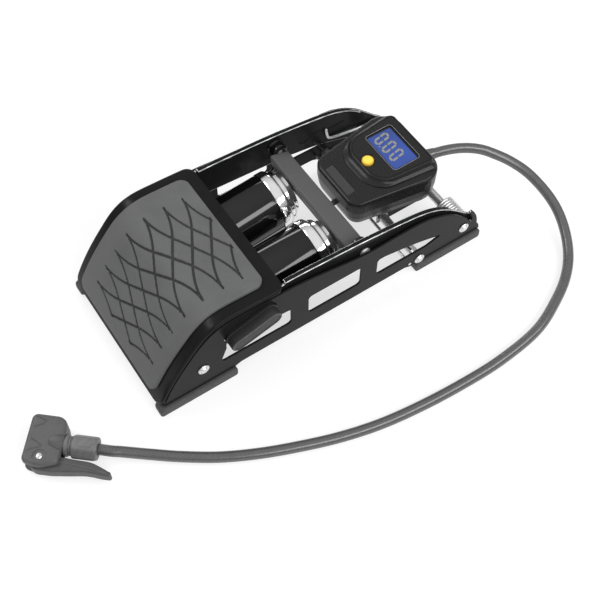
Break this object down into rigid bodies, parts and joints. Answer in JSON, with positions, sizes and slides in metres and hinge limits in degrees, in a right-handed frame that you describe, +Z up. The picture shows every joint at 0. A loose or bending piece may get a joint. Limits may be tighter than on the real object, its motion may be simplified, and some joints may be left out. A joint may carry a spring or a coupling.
{
  "type": "foot pump",
  "caption": "Folding foot pump stored closed, with paired cylinders under a padded foot pedal, a digital pressure gauge, and a long hose ending in a clamp-on valve head.",
  "frame": {"origin": "bottom centre of the pump's own box, without the free hose and its valve head, on the floor", "axes": "+X along the pump from the front feet to the rear hinge, +Y across it from the latch side to the plain side, +Z up"},
  "size_m": [0.5199, 0.2726, 0.0947],
  "materials": {
    "side_plate_near": "satin black powder coat",
    "side_plate_far": "satin black powder coat",
    "foot_front_near": "matt grey rubber",
    "foot_front_far": "matt grey rubber",
    "foot_rear_near": "matt grey rubber",
    "foot_rear_far": "matt grey rubber",
    "front_axle": "bright zinc-plated steel",
    "main_axle": "bright zinc-plated steel",
    "cross_rod": "bright zinc-plated steel",
    "thin_rod": "bright zinc-plated steel",
    "gauge_lower_shell": "dark grey moulded plastic",
    "gauge_upper_shell": "dark grey moulded plastic",
    "gauge_bezel": "dark grey moulded plastic",
    "lcd_panel": "blue liquid-crystal display",
    "lcd_window": "clear flat window",
    "circuit_board": "green solder mask",
    "pressure_sensor": "dark grey moulded plastic",
    "coin_cell": "bright zinc-plated steel",
    "cell_door": "dark grey moulded plastic",
    "gauge_bracket": "satin black powder coat",
    "air_manifold": "dark grey moulded plastic",
    "air_line": "dark grey moulded plastic",
    "hose_gland": "matt grey rubber",
    "hose": "smooth dark rubber",
    "chuck_nut": "dark grey moulded plastic",
    "chuck_body": "dark grey moulded plastic",
    "chuck_pin": "bright zinc-plated steel",
    "chuck_seal": "matt grey rubber",
    "latch_carrier": "satin black powder coat",
    "arm_plate_near": "satin black powder coat",
    "arm_plate_far": "satin black powder coat",
    "pivot_bush_near": "bright zinc-plated steel",
    "pivot_bush_far": "bright zinc-plated steel",
    "crossbar_lug_near": "satin black powder coat",
    "crossbar_lug_far": "satin black powder coat",
    "crossbar_bolt_near": "bright zinc-plated steel",
    "crossbar_bolt_far": "bright zinc-plated steel",
    "crossbar_collar_near": "satin black powder coat",
    "crossbar_collar_far": "satin black powder coat",
    "pedal_plate": "satin black powder coat",
    "pedal_pad": "matt grey rubber",
    "crossbar": "matt grey powder coat",
    "torsion_spring_near": "bright zinc-plated steel",
    "torsion_spring_far": "bright zinc-plated steel",
    "barrel_near": "satin black powder coat",
    "barrel_far": "satin black powder coat",
    "base_cap_near": "satin black powder coat",
    "base_cap_far": "satin black powder coat",
    "end_cap_near": "polished chrome plate",
    "end_cap_far": "polished chrome plate",
    "piston_near": "dark grey moulded plastic",
    "piston_far": "dark grey moulded plastic",
    "piston_rod_near": "bright zinc-plated steel",
    "piston_rod_far": "bright zinc-plated steel",
    "rod_pin_near": "bright zinc-plated steel",
    "rod_pin_far": "bright zinc-plated steel",
    "latch_knob": "dark grey moulded plastic",
    "gauge_button": "soft yellow moulding",
    "chuck_lever": "dark grey moulded plastic"
  },
  "bodies": {
    "base_frame": {"side_plate_near": "side_plate_near", "side_plate_far": "side_plate_far", "foot_front_near": "foot_front_near", "foot_front_far": "foot_front_far", "foot_rear_near": "foot_rear_near", "foot_rear_far": "foot_rear_far", "front_axle": "front_axle", "main_axle": "main_axle", "cross_rod": "cross_rod", "thin_rod": "thin_rod", "gauge_lower_shell": "gauge_lower_shell", "gauge_upper_shell": "gauge_upper_shell", "gauge_bezel": "gauge_bezel", "lcd_panel": "lcd_panel", "lcd_window": "lcd_window", "circuit_board": "circuit_board", "pressure_sensor": "pressure_sensor", "coin_cell": "coin_cell", "cell_door": "cell_door", "gauge_bracket": "gauge_bracket", "air_manifold": "air_manifold", "air_line": "air_line", "hose_gland": "hose_gland", "hose": "hose", "chuck_nut": "chuck_nut", "chuck_body": "chuck_body", "chuck_pin": "chuck_pin", "chuck_seal": "chuck_seal", "latch_carrier": "latch_carrier"},
    "pedal_arm": {"arm_plate_near": "arm_plate_near", "arm_plate_far": "arm_plate_far", "pivot_bush_near": "pivot_bush_near", "pivot_bush_far": "pivot_bush_far", "crossbar_lug_near": "crossbar_lug_near", "crossbar_lug_far": "crossbar_lug_far", "crossbar_bolt_near": "crossbar_bolt_near", "crossbar_bolt_far": "crossbar_bolt_far", "crossbar_collar_near": "crossbar_collar_near", "crossbar_collar_far": "crossbar_collar_far", "pedal_plate": "pedal_plate", "pedal_pad": "pedal_pad", "crossbar": "crossbar", "torsion_spring_near": "torsion_spring_near", "torsion_spring_far": "torsion_spring_far"},
    "cylinders": {"barrel_near": "barrel_near", "barrel_far": "barrel_far", "base_cap_near": "base_cap_near", "base_cap_far": "base_cap_far", "end_cap_near": "end_cap_near", "end_cap_far": "end_cap_far"},
    "pistons": {"piston_near": "piston_near", "piston_far": "piston_far", "piston_rod_near": "piston_rod_near", "piston_rod_far": "piston_rod_far", "rod_pin_near": "rod_pin_near", "rod_pin_far": "rod_pin_far"},
    "latch": {"latch_knob": "latch_knob"},
    "button": {"gauge_button": "gauge_button"},
    "chuck_thumb_lever": {"chuck_lever": "chuck_lever"}
  },
  "joints": [
    {"name": "arm_pivot", "type": "hinge", "parent": "base_frame", "child": "pedal_arm", "pos_m": [0.1465, 0.004, 0.0267], "axis": [0, 1, 0], "range_deg": [0, 36], "deforming": ["torsion_spring_near", "torsion_spring_far"]},
    {"name": "barrel_tilt", "type": "hinge", "parent": "base_frame", "child": "cylinders", "pos_m": [-0.123, 0.004, 0.0363], "axis": [0, -1, 0], "range_deg": [0, 17]},
    {"name": "rod_slide", "type": "slide", "parent": "cylinders", "child": "pistons", "axis": [0.9964, 0, 0.0851], "range_m": [0, 0.046]},
    {"name": "latch_pivot", "type": "hinge", "parent": "base_frame", "child": "latch", "pos_m": [-0.0602, -0.0705, 0.0712], "axis": [0, -1, 0], "range_deg": [0, 20], "stiffness_Nm_per_rad": 0.15},
    {"name": "button_press", "type": "slide", "parent": "base_frame", "child": "button", "axis": [0, 0, -1], "range_m": [0, 0.001], "stiffness_N_per_m": 400},
    {"name": "chuck_lever_pivot", "type": "hinge", "parent": "base_frame", "child": "chuck_thumb_lever", "pos_m": [-0.2678, -0.05815, 0.011], "axis": [0, 0, -1], "range_deg": [0, 90]}
  ],
  "couplings": [
    {"joint": "barrel_tilt", "follows": "arm_pivot", "ratio": 0.4722},
    {"joint": "rod_slide", "follows": "arm_pivot", "m_per_rad": 0.073211}
  ]
}
